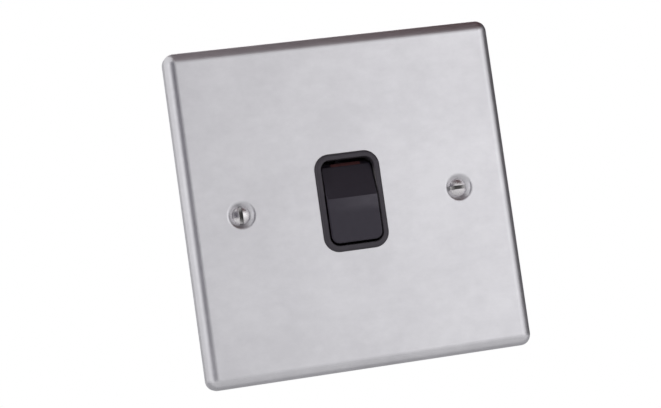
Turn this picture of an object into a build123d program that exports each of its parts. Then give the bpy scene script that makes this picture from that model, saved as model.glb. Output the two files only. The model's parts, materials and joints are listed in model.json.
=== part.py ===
from build123d import *
import os
from math import cos, radians, sin, sqrt, tan

# Wall isolator switch on a pressed steel plate, modelled in its OFF position.
# Millimetres. X to the right, Z up, Y into the wall. The wall is the plane Y = 0,
# and the origin is the middle of the plate's rear rim.

# Front plate, pressed from sheet
PLATE_SIDE = 90.0
PLATE_DEPTH = 6.0
SHEET = 1.0
EDGE_ROUND = 3.1
PLATE_CORNER = 2.8
TAB_WIDTH = 9.0
TAB_REACH = 1.8
TAB_OFFSET = 24.0

# Fixing screws and the dimples they sit in
FIXING_CENTRES = 60.3
DIMPLE_MOUTH = 7.0
DIMPLE_HOLE = 4.0
DIMPLE_LIP = 0.5
DIMPLE_ROUND = 1.1
FIXING_HEAD = 4.7
FIXING_DOME = 0.7
FIXING_NECK = 3.0
FIXING_NECK_LENGTH = 0.5
FIXING_THREAD = 3.5
FIXING_LENGTH = 25.0
FIXING_SLOT_WIDTH = 1.0
FIXING_SLOT_DEPTH = 0.9
HEAD_CLEARANCE = 0.03

# Housing: the collar round the rocker, the panel behind the plate and the case wall
COLLAR_WIDTH = 17.8
COLLAR_HEIGHT = 26.2
COLLAR_CORNER = 4.1
COLLAR_WALL = 1.6
COLLAR_PROUD = 0.9
COLLAR_OUTER_ROUND = 0.75
COLLAR_INNER_ROUND = 0.3
COLLAR_TAIL = 1.4
WINDOW_CLEARANCE = 0.1
PANEL = 2.0
PANEL_CLEARANCE = 0.15
RIM_WALL = 1.8
RIB = 1.2
RIB_HEIGHT = 1.4
RIB_OFFSET = 14.0
DIMPLE_CLEARANCE = 0.3
CASE_WIDTH = 46.0
CASE_HEIGHT = 51.0
CASE_CORNER = 3.0
CASE_WALL = 1.8
CASE_REACH = 1.5

# Rocker
ROCKER_GAP = 0.28
ROCKER_FOOT_GAP = 0.56
ROCKER_HEAD_GAP = 0.85
ROCKER_PROUD = 0.6
ROCKER_CORNER = 2.2
ROCKER_ROUND = 0.35
ROCKER_WALL = 1.3
ROCKER_SKIRT = 5.7
RIDGE_HEIGHT = 1.05
PIVOT_DEPTH = 3.7
THROW = 17.0
TRUNNION = 2.2
TRUNNION_LENGTH = 1.38
BEARING_CLEARANCE = 0.05
BEARING_END_GAP = 0.15
FLAG_WIDTH = 8.2
FLAG_RISE = 1.0
FLAG_FALL = 1.2
FLAG_THICKNESS = 0.7
FLAG_MARGIN = 0.12

# Plungers and springs in the rocker's barrels
POLE_OFFSET = 3.6
BARREL = 4.4
BARREL_BORE = 3.0
BARREL_REACH = 5.2
BARREL_START = 2.2
BORE_START = 1.4
PLUNGER_CLEARANCE = 0.05
PLUNGER_REACH = 8.2
PLUNGER_LENGTH = 5.6
SPRING_OUTER = 2.6
SPRING_WIRE = 0.4
SPRING_TURNS = 4
SPRING_END_GAP = 0.05

# See-saw contacts
CONTACT_WIDTH = 4.2
CONTACT_THICKNESS = 0.9
CONTACT_LOWER = 8.2
CONTACT_UPPER = 9.8
CONTACT_CORNER = 1.2
CONTACT_SWING = 22.0
TIP_ARM = 8.0
TIP_DIAMETER = 3.2
TIP_HEIGHT = 0.8
FIXED_TIP_HEIGHT = 1.0
FIXED_TIP_DOME = 4.0
CONTACT_CLEARANCE = 0.05
FULCRUM_ROUND = 0.5
FULCRUM_SEAT = 0.1
FULCRUM_BASE = 3.2
STOP_ARM = 7.4
STOP_WIDTH = 1.6

# Straps and terminals
STRAP = 1.0
STRAP_WIDTH = 4.4
STRAP_CORNER = 1.0
TERMINAL_INSET = 3.5
TERMINAL_WIDTH = 8.4
TERMINAL_LENGTH = 9.0
TERMINAL_DEPTH = 9.4
TERMINAL_ROUND = 0.4
WIRE_BORE = 4.2
WIRE_LIFT = 0.6
TERMINAL_CLEARANCE = 0.15
TERMINAL_SCREW = 3.5
TERMINAL_HEAD = 5.6
TERMINAL_HEAD_HEIGHT = 1.9
TERMINAL_SLOT_WIDTH = 1.0
TERMINAL_SLOT_DEPTH = 1.0
THREAD_CLEARANCE = 0.05
WIRE_CLEARANCE = 0.1

# Earth strap, from the plate round the case to its terminal
EARTH_STRAP = 0.8
EARTH_WIDTH = 8.0
EARTH_FOOT = 8.0
EARTH_FLANGE = 12.0
EARTH_BEND = 0.5
EARTH_TERMINAL_DEPTH = 7.4
EARTH_TERMINAL_LENGTH = 8.0
EARTH_INSET = 2.0
EARTH_CLEARANCE = 0.4

# Base
BASE_FLOOR = 2.4
BASE_EDGE_ROUND = 1.2
PARTING = 0.3
POCKET_WIDTH = 7.2
POCKET_HEIGHT = 8.0
POCKET_DEPTH = 0.9
POCKET_CORNER = 1.0
POCKET_RIB = 1.2
POCKET_COLUMNS = 3
POCKET_ROWS = 2
PARTITION = 1.4
PARTITION_HEIGHT = 5.2
TOWER_WALL = 1.5
TOWER_HEIGHT = 6.0
TOWER_INSET = 1.6
TOWER_ROUND = 0.8
BASE_SCREW_INSET = 4.0
BASE_SCREW_HEIGHT = 5.5
BASE_SCREW = 3.0
BASE_SCREW_GRIP = 3.6
BASE_SCREW_HEAD = 5.4
BASE_SCREW_HEAD_HEIGHT = 2.2
BASE_SCREW_DOME = 0.8
RECESS_SPAN = 3.2
RECESS_WIDTH = 0.8
RECESS_DEPTH = 1.2
BASE_BOSS = 5.2
BASE_BOSS_GAP = 0.2

# Depths and places that follow from the sizes above
HALF_THROW = radians(THROW / 2)
HALF_SWING = radians(CONTACT_SWING / 2)
PLATE_FRONT = -PLATE_DEPTH
PLATE_BACK = PLATE_FRONT + SHEET
PANEL_BACK = PLATE_BACK + PANEL
DIMPLE_CONE = (DIMPLE_MOUTH - DIMPLE_HOLE) / 2
DIMPLE_DEPTH = DIMPLE_CONE + DIMPLE_LIP
COLLAR_FRONT = PLATE_FRONT - COLLAR_PROUD
COLLAR_BACK = PANEL_BACK + COLLAR_TAIL
OPENING_WIDTH = COLLAR_WIDTH - 2 * COLLAR_WALL
OPENING_HEIGHT = COLLAR_HEIGHT - 2 * COLLAR_WALL
OPENING_CORNER = COLLAR_CORNER - COLLAR_WALL
ROCKER_WIDTH = OPENING_WIDTH - 2 * ROCKER_GAP
ROCKER_FOOT = -OPENING_HEIGHT / 2 + ROCKER_FOOT_GAP
ROCKER_HEAD = OPENING_HEIGHT / 2 - ROCKER_HEAD_GAP
ROCKER_FRONT = COLLAR_FRONT - ROCKER_PROUD
ROCKER_BACK = ROCKER_FRONT + ROCKER_SKIRT
PIVOT_Y = ROCKER_FRONT + PIVOT_DEPTH * cos(HALF_THROW)
PIVOT_Z = RIDGE_HEIGHT - PIVOT_DEPTH * sin(HALF_THROW)
FULCRUM_Y = PIVOT_Y + PLUNGER_REACH + CONTACT_CLEARANCE + CONTACT_THICKNESS + FULCRUM_SEAT
FULCRUM_Z = PIVOT_Z
TIP_FACE = TIP_HEIGHT - FULCRUM_SEAT
CLOSED_Y = FULCRUM_Y + TIP_FACE * cos(HALF_SWING) + TIP_ARM * sin(HALF_SWING)
CLOSED_Z = FULCRUM_Z - TIP_FACE * sin(HALF_SWING) + TIP_ARM * cos(HALF_SWING)
DOME_Y = CLOSED_Y + (FIXED_TIP_DOME + CONTACT_CLEARANCE) * cos(HALF_SWING)
DOME_Z = CLOSED_Z - (FIXED_TIP_DOME + CONTACT_CLEARANCE) * sin(HALF_SWING)
STRAP_FRONT = DOME_Y - FIXED_TIP_DOME + FIXED_TIP_HEIGHT
FLOOR_FRONT = STRAP_FRONT + STRAP
BASE_BACK = FLOOR_FRONT + BASE_FLOOR
TERMINAL_BACK = FLOOR_FRONT + TERMINAL_DEPTH
WIRE_Y = BASE_BACK + WIRE_LIFT + WIRE_BORE / 2
TOWER_BACK = BASE_BACK + TOWER_HEIGHT
EARTH_SEAT = BASE_BACK + EARTH_STRAP
EARTH_BACK = EARTH_SEAT + EARTH_TERMINAL_DEPTH
EARTH_WIRE_Y = EARTH_SEAT + WIRE_LIFT + WIRE_BORE / 2
BASE_SCREW_OFFSET = CASE_WIDTH / 2 - BASE_SCREW_INSET
TERMINAL_OFFSET = BASE_SCREW_OFFSET - BASE_BOSS / 2 - BASE_BOSS_GAP - STRAP_WIDTH / 2
TERMINAL_HEIGHT = CASE_HEIGHT / 2 - TERMINAL_INSET - TERMINAL_LENGTH / 2
EARTH_Z = -CASE_HEIGHT / 2 + EARTH_INSET + EARTH_TERMINAL_LENGTH / 2
POLES = {"live": -1, "neutral": 1}
ENDS = {"supply": -1, "load": 1}
CORNERS = [(side, end) for side in POLES.values() for end in ENDS.values()]


def slab(outline, front, back):
    """An outline drawn in X and Z, given thickness from the front depth to the back depth."""
    plane = Plane(origin=(0, back, 0), x_dir=(1, 0, 0), z_dir=(0, -1, 0))
    return extrude(plane * outline, amount=back - front)


def block(x, y, z):
    """A box from pairs of limits along X, Y and Z."""
    size = Box(x[1] - x[0], y[1] - y[0], z[1] - z[0])
    return Pos((x[0] + x[1]) / 2, (y[0] + y[1]) / 2, (z[0] + z[1]) / 2) * size


def rod(radius, front, back, x=0.0, z=0.0):
    """A cylinder along Y between two depths."""
    return slab(Pos(x, z) * Circle(radius), front, back)


def bar(profile, width, x=0.0):
    """A profile drawn in Y and Z, given a width along X."""
    return Pos(x, 0, 0) * extrude(Plane.YZ * profile, amount=width / 2, both=True)


def spin(profile):
    """A profile of radius and depth turned about the Y axis."""
    return revolve(Plane.XY * profile, axis=Axis.Y)


def plate_outline(inset):
    """The plate's outline, or a smaller one inside it."""
    side = PLATE_SIDE - 2 * inset
    return RectangleRounded(side, side, max(PLATE_CORNER - inset, RIB / 2))


def case_outline(inset):
    """The outline of the case behind the plate, or a smaller one inside it."""
    corner = max(CASE_CORNER - inset, RIB / 2)
    return RectangleRounded(CASE_WIDTH - 2 * inset, CASE_HEIGHT - 2 * inset, corner)


def front_edges(solid):
    """The edges that lie in the foremost plane of a solid."""
    return solid.edges().group_by(Axis.Y)[0]


def back_edges(solid):
    """The edges that lie in the rearmost plane of a solid."""
    return solid.edges().group_by(Axis.Y)[-1]


def pressed_form(inset, front, back):
    """The plate's form, or a smaller one inside it: edges rolled over, then corners rounded."""
    side = PLATE_SIDE - 2 * inset
    blank = slab(Rectangle(side, side), front, back)
    rims = front_edges(blank)
    rolled = fillet(rims.filter_by(Axis.X), EDGE_ROUND - inset)
    rolled &= fillet(rims.filter_by(Axis.Z), EDGE_ROUND - inset)
    return fillet(rolled.edges().filter_by(Axis.Y), max(PLATE_CORNER - inset, RIB / 2))


def front_plate():
    shell = pressed_form(0, PLATE_FRONT, 0) - pressed_form(SHEET, PLATE_BACK, 0)
    for side in POLES.values():
        place = Pos(side * FIXING_CENTRES / 2, PLATE_FRONT, 0)
        shell += place * spin(cone_profile(DIMPLE_MOUTH / 2 + SHEET * sqrt(2), SHEET / 2, DIMPLE_DEPTH))
        shell -= place * spin(cone_profile(DIMPLE_MOUTH / 2, 0, DIMPLE_CONE))
        shell -= place * rod(DIMPLE_HOLE / 2, 0, DIMPLE_DEPTH)
    shell = fillet(front_edges(shell).filter_by(GeomType.CIRCLE), DIMPLE_ROUND)
    window = RectangleRounded(
        COLLAR_WIDTH + 2 * WINDOW_CLEARANCE,
        COLLAR_HEIGHT + 2 * WINDOW_CLEARANCE,
        COLLAR_CORNER + WINDOW_CLEARANCE,
    )
    shell -= slab(window, PLATE_FRONT, PLATE_BACK)
    wall = PLATE_SIDE / 2 - SHEET
    tab = block((-TAB_WIDTH / 2, TAB_WIDTH / 2), (-SHEET, 0), (wall - TAB_REACH, wall))
    for turn in range(4):
        for offset in (-TAB_OFFSET, TAB_OFFSET):
            shell += Rot(0, 90 * turn, 0) * Pos(offset, 0, 0) * tab
    return shell


def cone_profile(mouth, top, bottom):
    """Half section of a 90 degree cone between two depths, with this mouth at the plate's face."""
    return Polygon((0, top), (mouth - top, top), (mouth - bottom, bottom), (0, bottom), align=None)


def fixing_screw(turned):
    """Raised countersunk screw, its slot turned by this angle from the vertical."""
    rim = (DIMPLE_MOUTH - FIXING_HEAD) / 2 - HEAD_CLEARANCE
    cone = rim + (FIXING_HEAD - FIXING_NECK) / 2
    thread = cone + FIXING_NECK_LENGTH
    end = rim + FIXING_LENGTH
    head, neck, shank = FIXING_HEAD / 2, FIXING_NECK / 2, FIXING_THREAD / 2
    dome = ThreePointArc((0, rim - FIXING_DOME), *dome_points(head, rim, FIXING_DOME))
    lines = Polyline(
        (head, rim),
        (neck, cone),
        (neck, thread),
        (shank, thread),
        (shank, end - shank / 2),
        (shank / 2, end),
        (0, end),
        (0, rim - FIXING_DOME),
    )
    screw = spin(make_face(dome + lines))
    depth = rim - FIXING_DOME + FIXING_SLOT_DEPTH
    half = FIXING_SLOT_WIDTH / 2
    slot = block((-half, half), (rim - 2 * FIXING_DOME, depth), (-head, head))
    return Pos(0, PLATE_FRONT, 0) * (screw - Rot(0, turned, 0) * slot)


def dome_points(radius, depth, rise):
    """The middle and the end of a shallow arc that ends at this radius and depth."""
    ball = (radius**2 + rise**2) / (2 * rise)
    middle = radius / 2
    return (middle, depth - rise + ball - sqrt(ball**2 - middle**2)), (radius, depth)


def switch_housing():
    inset = SHEET + PANEL_CLEARANCE
    panel = pressed_form(inset, PLATE_BACK, -SHEET)
    panel -= slab(plate_outline(inset + RIM_WALL), PANEL_BACK, 0)
    reach = PLATE_SIDE / 2 - inset - RIM_WALL / 2
    for offset in (-RIB_OFFSET, RIB_OFFSET):
        across = (offset - RIB / 2, offset + RIB / 2)
        depth = (PANEL_BACK - PANEL / 2, PANEL_BACK + RIB_HEIGHT)
        panel += block(across, depth, (-reach, reach))
        panel += block((-reach, reach), depth, across)
    wall = slab(case_outline(0), PANEL_BACK, CASE_REACH)
    panel += wall
    panel -= slab(case_outline(CASE_WALL), PANEL_BACK, CASE_REACH)
    panel += collar()
    panel -= slab(opening_outline(), COLLAR_FRONT, COLLAR_BACK)
    for side, end in CORNERS:
        x, z = side * BASE_SCREW_OFFSET, end * BASE_SCREW_HEIGHT
        panel += rod(BASE_BOSS / 2, PANEL_BACK - PANEL / 2, CASE_REACH, x, z)
        panel -= rod(BASE_SCREW / 2 + THREAD_CLEARANCE, PANEL_BACK - PANEL / 2, CASE_REACH, x, z)
    dimple = DIMPLE_MOUTH / 2 + SHEET * (sqrt(2) - 1) + DIMPLE_CLEARANCE
    bearing = OPENING_WIDTH / 2 + TRUNNION_LENGTH - ROCKER_GAP + BEARING_END_GAP
    panel -= trunnion(TRUNNION / 2 + BEARING_CLEARANCE, bearing)
    for side in POLES.values():
        panel -= rod(dimple, PLATE_BACK, 0, side * FIXING_CENTRES / 2)
    half = EARTH_WIDTH / 2 + EARTH_CLEARANCE
    foot = -CASE_HEIGHT / 2 - EARTH_FOOT - EARTH_CLEARANCE
    panel -= block((-half, half), (PLATE_BACK, PANEL_BACK), (foot, -CASE_HEIGHT / 2))
    return panel


def opening_outline():
    return RectangleRounded(OPENING_WIDTH, OPENING_HEIGHT, OPENING_CORNER)


def collar():
    """The frame round the rocker, with rounded front edges."""
    outline = RectangleRounded(COLLAR_WIDTH, COLLAR_HEIGHT, COLLAR_CORNER)
    ring = slab(outline, COLLAR_FRONT, COLLAR_BACK)
    ring = fillet(front_edges(ring), COLLAR_OUTER_ROUND)
    ring -= slab(opening_outline(), COLLAR_FRONT, COLLAR_BACK)
    mouth = ring.faces().sort_by(Axis.Y)[0].inner_wires()[0]
    return fillet(mouth.edges(), COLLAR_INNER_ROUND)


def trunnion(radius, reach):
    """A pin along X through the rocker's pivot, to this distance on both sides."""
    return Pos(0, PIVOT_Y, PIVOT_Z) * Rot(0, 90, 0) * Cylinder(radius, 2 * reach)


def rocker_profile(wall):
    """Side profile of the rocker, or of the hollow inside this wall."""
    slope = tan(2 * HALF_THROW)
    shoulder = ROCKER_HEAD - FLAG_RISE
    front = ROCKER_FRONT + wall
    brow = front + (shoulder - RIDGE_HEIGHT) * slope
    return Polygon(
        (front, ROCKER_FOOT + wall),
        (front, RIDGE_HEIGHT),
        (brow, shoulder),
        (brow + FLAG_FALL, ROCKER_HEAD - wall),
        (ROCKER_BACK, ROCKER_HEAD - wall),
        (ROCKER_BACK, ROCKER_FOOT + wall),
        align=None,
    )


def rocker_block(wall):
    """The rocker's outer form, or the hollow inside this wall."""
    height = ROCKER_HEAD - ROCKER_FOOT - 2 * wall
    corner = max(ROCKER_CORNER - wall, ROCKER_ROUND)
    outline = RectangleRounded(ROCKER_WIDTH - 2 * wall, height, corner)
    middle = Pos(0, (ROCKER_HEAD + ROCKER_FOOT) / 2)
    width = ROCKER_WIDTH - 2 * wall
    return slab(middle * outline, ROCKER_FRONT, ROCKER_BACK) & bar(rocker_profile(wall), width)


def rocker_frame():
    """Pivot of the rocker, with the barrels' direction as its Z axis."""
    return Plane(
        origin=(0, PIVOT_Y, PIVOT_Z),
        x_dir=(1, 0, 0),
        z_dir=(0, cos(HALF_THROW), -sin(HALF_THROW)),
    )


def along_barrel(radius, start, end, side):
    """A cylinder on a barrel's axis, measured from the pivot."""
    middle = Pos(side * POLE_OFFSET, 0, (start + end) / 2)
    return rocker_frame() * middle * Cylinder(radius, end - start)


def rocker():
    body = rocker_block(0)
    front = [e for e in body.edges() if e.center().Y < ROCKER_FRONT + ROCKER_SKIRT / 2]
    rims = [e for e in front if not is_ridge(e) and not is_upright(e)]
    body = fillet(rims, ROCKER_ROUND)
    body -= rocker_block(ROCKER_WALL)
    for side in POLES.values():
        body += along_barrel(BARREL / 2, -BARREL_START, BARREL_REACH, side)
    for side in POLES.values():
        body -= along_barrel(BARREL_BORE / 2, -BORE_START, BARREL_REACH, side)
    pins = trunnion(TRUNNION / 2, ROCKER_WIDTH / 2 + TRUNNION_LENGTH)
    pins -= trunnion(TRUNNION, ROCKER_WIDTH / 2 - ROCKER_WALL / 2)
    return body + pins - on_flag()


def is_ridge(edge):
    """Edges that run along X, across the rocker, other than the foot's."""
    straight = edge.geom_type == GeomType.LINE and abs(edge.tangent_at(0).X) > 0.99
    return straight and edge.center().Z > ROCKER_FOOT + ROCKER_WALL


def is_upright(edge):
    """Edges that run in from the face, along Y."""
    return edge.geom_type == GeomType.LINE and abs(edge.tangent_at(0).Y) > 0.99


def on_flag():
    shoulder = ROCKER_HEAD - FLAG_RISE
    brow = ROCKER_FRONT + (shoulder - RIDGE_HEIGHT) * tan(2 * HALF_THROW)
    slant = sqrt(FLAG_RISE**2 + FLAG_FALL**2)
    face = Plane(
        origin=(0, brow + FLAG_FALL / 2, shoulder + FLAG_RISE / 2),
        x_dir=(1, 0, 0),
        z_dir=(0, FLAG_RISE / slant, -FLAG_FALL / slant),
    )
    outline = Rectangle(FLAG_WIDTH, slant - 2 * FLAG_MARGIN)
    return extrude(face * outline, amount=FLAG_THICKNESS)


def plunger(side):
    """Turned pin with a round nose, sliding in a barrel."""
    start = PLUNGER_REACH - PLUNGER_LENGTH
    radius = BARREL_BORE / 2 - PLUNGER_CLEARANCE
    shoulder = PLUNGER_REACH - radius
    nose = ThreePointArc(
        (radius, shoulder),
        (radius / sqrt(2), shoulder + radius / sqrt(2)),
        (0, PLUNGER_REACH),
    )
    sides = Polyline((0, PLUNGER_REACH), (0, start), (radius, start), (radius, shoulder))
    place = rocker_frame() * Pos(side * POLE_OFFSET, 0, 0) * Rot(90, 0, 0)
    return place * spin(make_face(nose + sides))


def plunger_spring(side):
    start = SPRING_END_GAP + SPRING_WIRE / 2 - BORE_START
    end = PLUNGER_REACH - PLUNGER_LENGTH - SPRING_END_GAP - SPRING_WIRE / 2
    radius = (SPRING_OUTER - SPRING_WIRE) / 2
    coil = Helix((end - start) / SPRING_TURNS, end - start, radius)
    section = Plane(origin=coil @ 0, z_dir=coil % 0) * Circle(SPRING_WIRE / 2)
    return rocker_frame() * Pos(side * POLE_OFFSET, 0, start) * sweep(section, path=coil)


def on_contact(solid, side):
    """A piece of the see-saw, drawn about its fulcrum, set in its open position."""
    return Pos(side * POLE_OFFSET, FULCRUM_Y, FULCRUM_Z) * Rot(CONTACT_SWING / 2, 0, 0) * solid


def moving_contact(side):
    length = CONTACT_LOWER + CONTACT_UPPER
    outline = RectangleRounded(CONTACT_WIDTH, length, CONTACT_CORNER)
    outline = Pos(0, (CONTACT_UPPER - CONTACT_LOWER) / 2) * outline
    strip = slab(outline, -FULCRUM_SEAT - CONTACT_THICKNESS, -FULCRUM_SEAT)
    groove = Rot(0, 90, 0) * Cylinder(FULCRUM_ROUND + BEARING_CLEARANCE, CONTACT_WIDTH)
    return on_contact(strip - groove, side)


def moving_tip(side):
    return on_contact(rod(TIP_DIAMETER / 2, -FULCRUM_SEAT, TIP_FACE, 0, TIP_ARM), side)


def fixed_tip(side):
    x = side * POLE_OFFSET
    disc = rod(TIP_DIAMETER / 2, STRAP_FRONT - FIXED_TIP_HEIGHT, STRAP_FRONT, x, DOME_Z)
    return disc & (Pos(x, DOME_Y, DOME_Z) * Sphere(FIXED_TIP_DOME))


def strap_outline(side, end, inner_z):
    """Flat pattern from a terminal along the case, then across to the contact."""
    outer_z = end * (TERMINAL_HEIGHT + TERMINAL_LENGTH / 2)
    near_z = inner_z - end * STRAP_WIDTH / 2
    inner_x = POLE_OFFSET - CONTACT_WIDTH / 2
    outer_x = TERMINAL_OFFSET + STRAP_WIDTH / 2
    run = Pos(side * TERMINAL_OFFSET, (outer_z + near_z) / 2)
    cross = Pos(side * (inner_x + outer_x) / 2, inner_z)
    upright = run * Rectangle(STRAP_WIDTH, abs(outer_z - near_z))
    return upright + cross * Rectangle(outer_x - inner_x, STRAP_WIDTH)


def strap(side, end, inner_z):
    piece = slab(strap_outline(side, end, inner_z), STRAP_FRONT, FLOOR_FRONT)
    corners = piece.edges().filter_by(Axis.Y)
    return fillet(corners, STRAP_CORNER)


def supply_strap(side):
    piece = strap(side, ENDS["supply"], FULCRUM_Z)
    edge = Polygon(
        (FULCRUM_Y, FULCRUM_Z - FULCRUM_ROUND),
        (FULCRUM_Y, FULCRUM_Z + FULCRUM_ROUND),
        (STRAP_FRONT, FULCRUM_Z + FULCRUM_BASE / 2),
        (STRAP_FRONT, FULCRUM_Z - FULCRUM_BASE / 2),
        align=None,
    )
    width = CONTACT_WIDTH - 2 * FULCRUM_ROUND
    nose = Pos(FULCRUM_Y, FULCRUM_Z) * Circle(FULCRUM_ROUND)
    return piece + bar(edge + nose, width, side * POLE_OFFSET)


def load_strap(side):
    return strap(side, ENDS["load"], DOME_Z)


def terminal(width, length, seat, back, wire_y):
    """Brass block with its wire bore along Z and its screw hole from the back."""
    piece = block((-width / 2, width / 2), (seat, back), (-length / 2, length / 2))
    piece = fillet(piece.edges(), TERMINAL_ROUND)
    piece -= Pos(0, wire_y, 0) * Cylinder(WIRE_BORE / 2, length)
    return piece - rod(TERMINAL_SCREW / 2 + THREAD_CLEARANCE, wire_y, back)


def terminal_screw(back, wire_y):
    """Slotted cheese-head screw, its end just short of the wire bore."""
    shank = rod(TERMINAL_SCREW / 2, wire_y + WIRE_BORE / 2 + WIRE_CLEARANCE, back)
    head = rod(TERMINAL_HEAD / 2, back, back + TERMINAL_HEAD_HEIGHT)
    head = fillet(back_edges(head), TERMINAL_HEAD_HEIGHT / 5)
    half = TERMINAL_SLOT_WIDTH / 2
    floor = back + TERMINAL_HEAD_HEIGHT - TERMINAL_SLOT_DEPTH
    reach = TERMINAL_HEAD / 2
    return shank + head - block((-half, half), (floor, back + TERMINAL_HEAD_HEIGHT), (-reach, reach))


def earth_strap():
    wall = -CASE_HEIGHT / 2 - EARTH_STRAP / 2
    foot = PLATE_BACK + EARTH_STRAP / 2
    flange = BASE_BACK + EARTH_STRAP / 2
    path = FilletPolyline(
        (foot, -CASE_HEIGHT / 2 - EARTH_FOOT),
        (foot, wall),
        (flange, wall),
        (flange, -CASE_HEIGHT / 2 + EARTH_FLANGE),
        radius=EARTH_BEND + EARTH_STRAP / 2,
    )
    return bar(trace(path, EARTH_STRAP), EARTH_WIDTH)


def tower(side, end):
    """Moulded walls on three sides of a terminal, open to the back and outwards."""
    half = TERMINAL_WIDTH / 2 + TERMINAL_CLEARANCE
    x, limit = side * TERMINAL_OFFSET, CASE_HEIGHT / 2 - TOWER_INSET
    inner = TERMINAL_HEIGHT - TERMINAL_LENGTH / 2 - TERMINAL_CLEARANCE
    bottom = inner - TOWER_WALL
    walls = Pos(x, end * (bottom + limit) / 2) * Rectangle(2 * half + 2 * TOWER_WALL, limit - bottom)
    solid = slab(walls, BASE_BACK - BASE_FLOOR / 2, TOWER_BACK)
    solid = fillet(solid.edges().filter_by(Axis.Y), TOWER_ROUND)
    well = Pos(x, end * (inner + CASE_HEIGHT / 2) / 2) * Rectangle(2 * half, CASE_HEIGHT / 2 - inner)
    return solid - slab(well, BASE_BACK, TOWER_BACK)


def pockets():
    """Shallow rows of pockets that core out the back of the base and leave ribs between them."""
    outline = RectangleRounded(POCKET_WIDTH, POCKET_HEIGHT, POCKET_CORNER)
    places = GridLocations(
        POCKET_WIDTH + POCKET_RIB,
        POCKET_HEIGHT + POCKET_RIB,
        POCKET_COLUMNS,
        POCKET_ROWS,
    )
    return [slab(place * outline, BASE_BACK - POCKET_DEPTH, BASE_BACK) for place in places]


def base():
    tray = slab(case_outline(0), CASE_REACH, BASE_BACK)
    tray = chamfer(front_edges(tray), PARTING)
    tray = fillet(back_edges(tray), BASE_EDGE_ROUND)
    tray -= pockets()
    tray -= slab(case_outline(CASE_WALL), CASE_REACH, FLOOR_FRONT)
    middle = (FLOOR_FRONT - PARTITION_HEIGHT, FLOOR_FRONT)
    reach = CASE_HEIGHT / 2 - CASE_WALL / 2
    tray += block((-PARTITION / 2, PARTITION / 2), middle, (-reach, reach))
    rest_y = FULCRUM_Y + STOP_ARM * tan(HALF_SWING) - FULCRUM_SEAT / cos(HALF_SWING) + CONTACT_CLEARANCE
    stop_z = FULCRUM_Z - STOP_ARM
    for side in POLES.values():
        x = side * POLE_OFFSET
        stop = block(
            (x - CONTACT_WIDTH / 2, x + CONTACT_WIDTH / 2),
            (rest_y + STOP_WIDTH / 2 * tan(HALF_SWING), FLOOR_FRONT),
            (stop_z - STOP_WIDTH / 2, stop_z + STOP_WIDTH / 2),
        )
        tray += stop
    half = TERMINAL_WIDTH / 2 + TERMINAL_CLEARANCE
    length = TERMINAL_LENGTH + 2 * TERMINAL_CLEARANCE
    for side, end in CORNERS:
        x, z = side * TERMINAL_OFFSET, end * TERMINAL_HEIGHT
        tray += tower(side, end)
        tray -= slab(Pos(x, z) * Rectangle(2 * half, length), FLOOR_FRONT, BASE_BACK)
        x, z = side * BASE_SCREW_OFFSET, end * BASE_SCREW_HEIGHT
        tray += rod(BASE_BOSS / 2, CASE_REACH, BASE_BACK, x, z)
    for side, end in CORNERS:
        x, z = side * BASE_SCREW_OFFSET, end * BASE_SCREW_HEIGHT
        tray -= rod(BASE_SCREW / 2 + THREAD_CLEARANCE, CASE_REACH, BASE_BACK, x, z)
    return tray


def base_screw():
    """Pan-head self-tapping screw with a cross recess, seated on the base."""
    top = BASE_BACK + BASE_SCREW_HEAD_HEIGHT
    shank = rod(BASE_SCREW / 2, CASE_REACH - BASE_SCREW_GRIP, BASE_BACK)
    head = rod(BASE_SCREW_HEAD / 2, BASE_BACK, top)
    head = fillet(back_edges(head), BASE_SCREW_DOME)
    half, arm = RECESS_WIDTH / 2, RECESS_SPAN / 2
    depth = (top - RECESS_DEPTH, top)
    return shank + head - block((-half, half), depth, (-arm, arm)) - block((-arm, arm), depth, (-half, half))


def pieces():
    """Every piece of the switch, by name."""
    made = {
        "front_plate": front_plate(),
        "switch_housing": switch_housing(),
        "base": base(),
        "rocker": rocker(),
        "on_flag": on_flag(),
        "fixing_screw_left": Pos(-FIXING_CENTRES / 2, 0, 0) * fixing_screw(0),
        "fixing_screw_right": Pos(FIXING_CENTRES / 2, 0, 0) * fixing_screw(90),
        "earth_strap": earth_strap(),
    }
    for pole, side in POLES.items():
        made[f"plunger_{pole}"] = plunger(side)
        made[f"plunger_spring_{pole}"] = plunger_spring(side)
        made[f"moving_contact_{pole}"] = moving_contact(side)
        made[f"moving_tip_{pole}"] = moving_tip(side)
        made[f"fixed_tip_{pole}"] = fixed_tip(side)
        made[f"supply_strap_{pole}"] = supply_strap(side)
        made[f"load_strap_{pole}"] = load_strap(side)
        for end, sign in ENDS.items():
            corner = Pos(side * TERMINAL_OFFSET, 0, sign * TERMINAL_HEIGHT)
            brass = terminal(TERMINAL_WIDTH, TERMINAL_LENGTH, FLOOR_FRONT, TERMINAL_BACK, WIRE_Y)
            made[f"{end}_terminal_{pole}"] = corner * brass
            made[f"{end}_screw_{pole}"] = corner * terminal_screw(TERMINAL_BACK, WIRE_Y)
            seat = Pos(side * BASE_SCREW_OFFSET, 0, sign * BASE_SCREW_HEIGHT)
            made[f"base_screw_{end}_{pole}"] = seat * base_screw()
    ground = Pos(0, 0, EARTH_Z)
    brass = terminal(EARTH_WIDTH, EARTH_TERMINAL_LENGTH, EARTH_SEAT, EARTH_BACK, EARTH_WIRE_Y)
    made["earth_terminal"] = ground * brass
    made["earth_screw"] = ground * terminal_screw(EARTH_BACK, EARTH_WIRE_Y)
    return made


os.makedirs("parts", exist_ok=True)
for name, solid in pieces().items():
    export_step(solid, f"parts/{name}.step")
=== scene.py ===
import json
from math import pi, radians

import bmesh
import bpy
from mathutils import Matrix, Vector


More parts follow.
